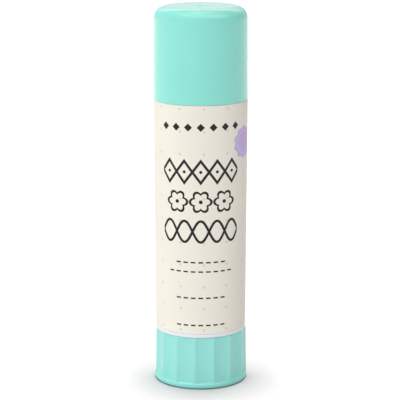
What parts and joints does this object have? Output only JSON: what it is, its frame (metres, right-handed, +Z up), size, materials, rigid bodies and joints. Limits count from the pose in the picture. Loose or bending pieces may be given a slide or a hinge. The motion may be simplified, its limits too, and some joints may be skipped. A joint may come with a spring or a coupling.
{
  "type": "glue stick",
  "caption": "Twist-up glue stick: a capped round tube whose fluted base knob turns a screw that lifts the glue column.",
  "frame": {"origin": "centre of the foot ring of the turning knob, on the surface that the stick stands on", "axes": "+Z up along the stick towards the cap; -Y is the front of the label, its seam is at +Y"},
  "size_m": [0.0256, 0.0256, 0.1041],
  "materials": {
    "mint_plastic": "satin injection-moulded mint plastic",
    "white_plastic": "satin injection-moulded white plastic",
    "label_film": "matt cream label with rows of tiny pastel dots",
    "glue_paste": "soft waxy off-white glue"
  },
  "bodies": {
    "barrel_body": {"barrel": "white_plastic", "label": "label_film"},
    "cap_body": {"cap": "mint_plastic"},
    "knob_body": {"turning_knob": "mint_plastic", "spindle": "white_plastic"},
    "carrier_body": {"carrier": "white_plastic", "glue": "glue_paste"}
  },
  "joints": [
    {"name": "cap_pull", "type": "slide", "parent": "barrel_body", "child": "cap_body", "axis": [0, 0, 1], "range_m": [0, 0.04]},
    {"name": "knob_turn", "type": "hinge", "parent": "barrel_body", "child": "knob_body", "pos_m": [0, 0, 0], "axis": [0, 0, 1], "range_deg": [0, 1890]},
    {"name": "carrier_rise", "type": "slide", "parent": "barrel_body", "child": "carrier_body", "axis": [0, 0, 1], "range_m": [0, 0.021]}
  ],
  "couplings": [
    {"joint": "knob_turn", "follows": "carrier_rise", "rad_per_m": 1570.8}
  ]
}
